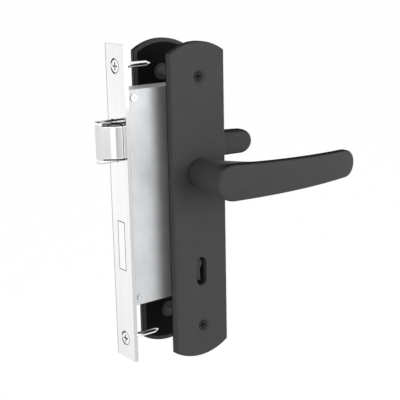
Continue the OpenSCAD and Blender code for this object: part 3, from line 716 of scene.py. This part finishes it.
# Studio: a white floor and sky, dimmer as lights than they look, and two soft lamps.

FLOOR_Z = -0.30
FLOOR_HALF = 40
FLOOR_TONE = 0.5
FLOOR_SEEN_TONE = 0.9
FLOOR_GLOW = 1.13
FLOOR_GLOW_SHARE = 0.82
SKY_LIGHT = 0.96
SKY_FADE_TO = 0.2
SKY_FADE_HEIGHT = 0.9
LOCK_MIDDLE = Vector((0, 0, -0.02))
LAMP_DISTANCE = 2.4


def seen_ray(tree):
    """1 for rays from the camera, a mirror or glass, 0 for light that falls on things."""
    path = tree.nodes.new("ShaderNodeLightPath")
    camera, glossy, through = (Field(tree, path.outputs[f"Is {kind} Ray"])
                               for kind in ("Camera", "Glossy", "Transmission"))
    return camera | glossy | through


def mix_shaders(tree, share, first, second):
    node = tree.nodes.new("ShaderNodeMixShader")
    feed(tree, node.inputs["Fac"], share)
    feed(tree, node.inputs[1], first)
    feed(tree, node.inputs[2], second)
    return node.outputs["Shader"]


def make_floor():
    """White to the camera, grey as a bounce for the light."""
    finish = Finish("floor_white")
    seen = seen_ray(finish.tree)
    tones = (opaque(grey(tone)) for tone in (FLOOR_TONE, FLOOR_SEEN_TONE))
    finish.put("Base Color", blend(finish.tree, seen, *tones))
    finish.put("Roughness", 0.9)
    finish.put("Specular IOR Level", 0)
    glow = finish.tree.nodes.new("ShaderNodeEmission")
    glow.inputs["Strength"].default_value = FLOOR_GLOW
    surface = mix_shaders(finish.tree, seen * FLOOR_GLOW_SHARE,
                          finish.shader.outputs["BSDF"], glow.outputs["Emission"])
    feed(finish.tree, finish.tree.nodes["Material Output"].inputs["Surface"], surface)

    corners = [(a * FLOOR_HALF, b * FLOOR_HALF, FLOOR_Z) for a, b in ((-1, -1), (1, -1), (1, 1), (-1, 1))]
    mesh = bpy.data.meshes.new("floor")
    mesh.from_pydata(corners, [], [(0, 1, 2, 3)])
    mesh.materials.append(finish.material)
    floor = bpy.data.objects.new("floor", mesh)
    bpy.context.collection.objects.link(floor)


def background(tree, strength):
    node = tree.nodes.new("ShaderNodeBackground")
    node.inputs["Color"].default_value = WHITE
    feed(tree, node.inputs["Strength"], strength)
    return node.outputs["Background"]


def make_world():
    """White to the camera. Its light fades from the horizon upwards."""
    world = bpy.data.worlds.new("studio")
    bpy.context.scene.world = world
    world.use_nodes = True
    tree = world.node_tree
    tree.nodes.clear()
    out = tree.nodes.new("ShaderNodeOutputWorld")
    height = axes(tree, coordinates(tree, "Generated"))[Z]
    light = background(tree, height.mapped(0, SKY_FADE_HEIGHT, SKY_LIGHT, SKY_LIGHT * SKY_FADE_TO))
    sky = mix_shaders(tree, seen_ray(tree), light, background(tree, 1))
    feed(tree, out.inputs["Surface"], sky)


def soft_lamp(name, towards, size, share):
    """Square lamp in a direction from the lock. It gives a surface that faces it a share of white."""
    lamp = bpy.data.lights.new(name, "AREA")
    lamp.shape = "SQUARE"
    lamp.size = size
    lamp.energy = share * math.pi * math.pi * LAMP_DISTANCE * LAMP_DISTANCE
    piece = bpy.data.objects.new(name, lamp)
    direction = Vector(towards).normalized()
    piece.location = LOCK_MIDDLE + direction * LAMP_DISTANCE
    piece.rotation_euler = (-direction).to_track_quat("-Z", "Y").to_euler()
    bpy.context.collection.objects.link(piece)


make_floor()
make_world()
soft_lamp("key", (0.35, -1, 0.12), size=1.6, share=0.36)
soft_lamp("fill", (-1, -0.75, -0.1), size=1.2, share=0.10)


# Camera, as it was fitted to the photograph: metres, degrees and pixels.

CAMERA_AT = (-0.4144, -0.5607, 0.1540)
CAMERA_AZIMUTH = 36.717
CAMERA_DOWN = 14.179
CAMERA_ROLL = -1.149
FOCAL_PIXELS = 964.8
FRAME_PIXELS = 400
SENSOR_WIDTH = 36
CLIP_START = 0.01


def make_camera():
    azimuth, down, roll = (math.radians(a) for a in (CAMERA_AZIMUTH, CAMERA_DOWN, CAMERA_ROLL))
    ahead = Vector((math.sin(azimuth) * math.cos(down),
                    math.cos(azimuth) * math.cos(down),
                    -math.sin(down)))
    level = ahead.cross(Vector((0, 0, 1))).normalized()
    upright = level.cross(ahead)
    right = level * math.cos(roll) + upright * math.sin(roll)
    up = right.cross(ahead)
    data = bpy.data.cameras.new("camera")
    data.sensor_width = SENSOR_WIDTH
    data.lens = FOCAL_PIXELS / FRAME_PIXELS * data.sensor_width
    data.clip_start = CLIP_START
    camera = bpy.data.objects.new("camera", data)
    turn = Matrix((right, up, -ahead)).transposed()
    camera.matrix_world = Matrix.Translation(CAMERA_AT) @ turn.to_4x4()
    bpy.context.collection.objects.link(camera)
    bpy.context.scene.camera = camera


make_camera()
bpy.context.scene.view_settings.view_transform = "Standard"
